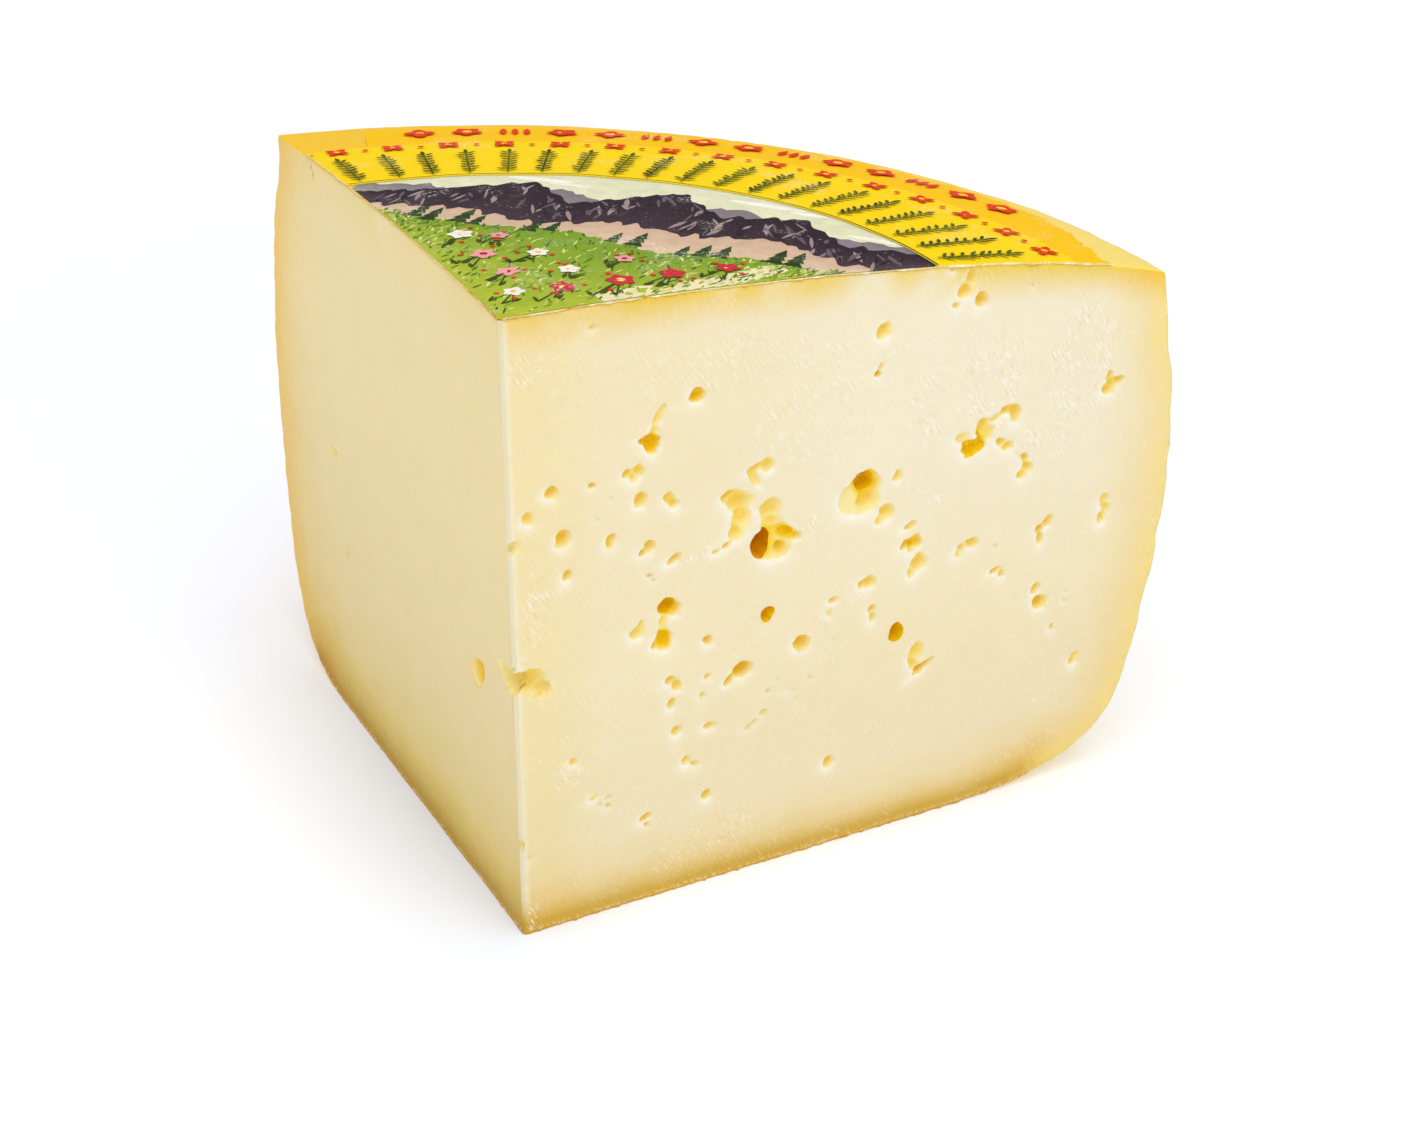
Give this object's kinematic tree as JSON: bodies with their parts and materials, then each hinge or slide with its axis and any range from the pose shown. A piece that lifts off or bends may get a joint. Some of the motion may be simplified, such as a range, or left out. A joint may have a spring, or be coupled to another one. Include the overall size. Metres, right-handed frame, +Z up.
{
  "type": "cheese wedge",
  "caption": "Quarter of a tall pressed cheese wheel with small eyes in its cut faces, a bulging rim and a printed paper label on top.",
  "frame": {"origin": "middle of the bounding box's footprint, on the surface that the wedge stands on", "axes": "+Z up along the wheel's axis; +Y from the upright front edge, where the two cuts meet, out to the rim; +X to the right for someone facing the front edge"},
  "size_m": [0.229, 0.1622, 0.1457],
  "materials": {
    "cheese_paste": "pale cream yellow pressed cheese, slightly translucent, satin where cut, with a smooth yellow waxy rind",
    "label_paper": "thin printed paper, lemon yellow with green, red and dark brown print, stuck to the rind"
  },
  "bodies": {
    "root": {"cheese": "cheese_paste", "label": "label_paper"}
  },
  "joints": []
}
